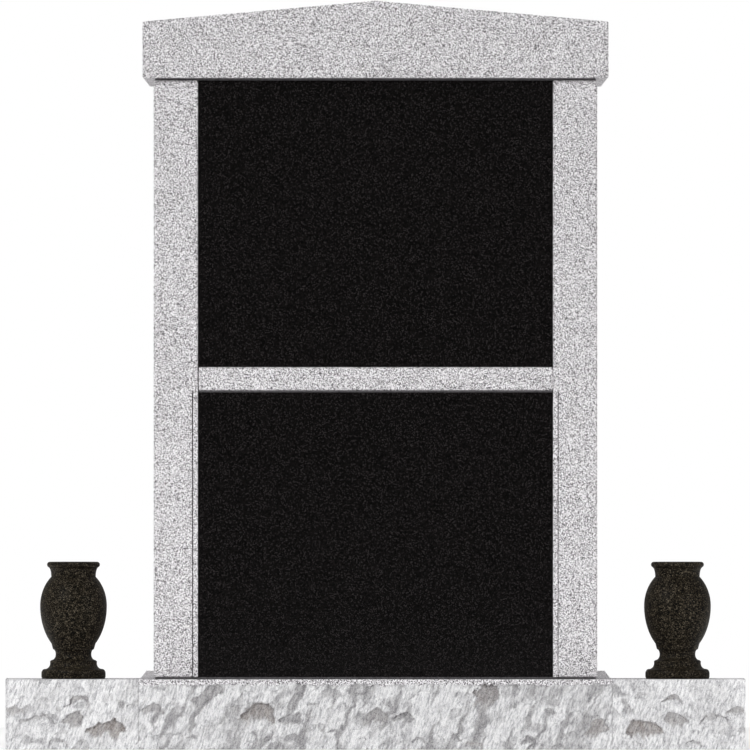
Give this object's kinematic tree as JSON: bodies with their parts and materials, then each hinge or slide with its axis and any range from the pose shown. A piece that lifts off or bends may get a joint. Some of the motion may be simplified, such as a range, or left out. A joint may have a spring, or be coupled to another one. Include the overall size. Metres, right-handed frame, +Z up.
{
  "type": "two-crypt mausoleum",
  "caption": "Small granite mausoleum with stacked crypts behind black polished fronts, a low gabled cap, and a rock-pitched base whose wings carry turned flower vases.",
  "frame": {"origin": "middle of the underside of the middle base block, on the ground", "axes": "+Z up, the crypt fronts face -Y, +X to the right as seen from the front"},
  "size_m": [1.928, 2.54, 1.947],
  "materials": {
    "grey_granite": "satin",
    "pitched_granite": "matte",
    "black_granite": "polished",
    "vase_granite": "polished",
    "setting_compound": "matte"
  },
  "bodies": {
    "root": {"base_center": "pitched_granite", "base_wing_left": "pitched_granite", "base_wing_right": "pitched_granite", "base_bed": "setting_compound", "wall_left": "grey_granite", "wall_right": "grey_granite", "back_wall": "grey_granite", "crypt_shelf": "grey_granite", "jamb_strip_left": "grey_granite", "jamb_strip_right": "grey_granite", "crypt_front_lower": "black_granite", "crypt_front_upper": "black_granite", "lower_front_seal": "setting_compound", "cap_bed": "setting_compound", "cap": "grey_granite", "vase_left": "vase_granite", "vase_right": "vase_granite"}
  },
  "joints": []
}
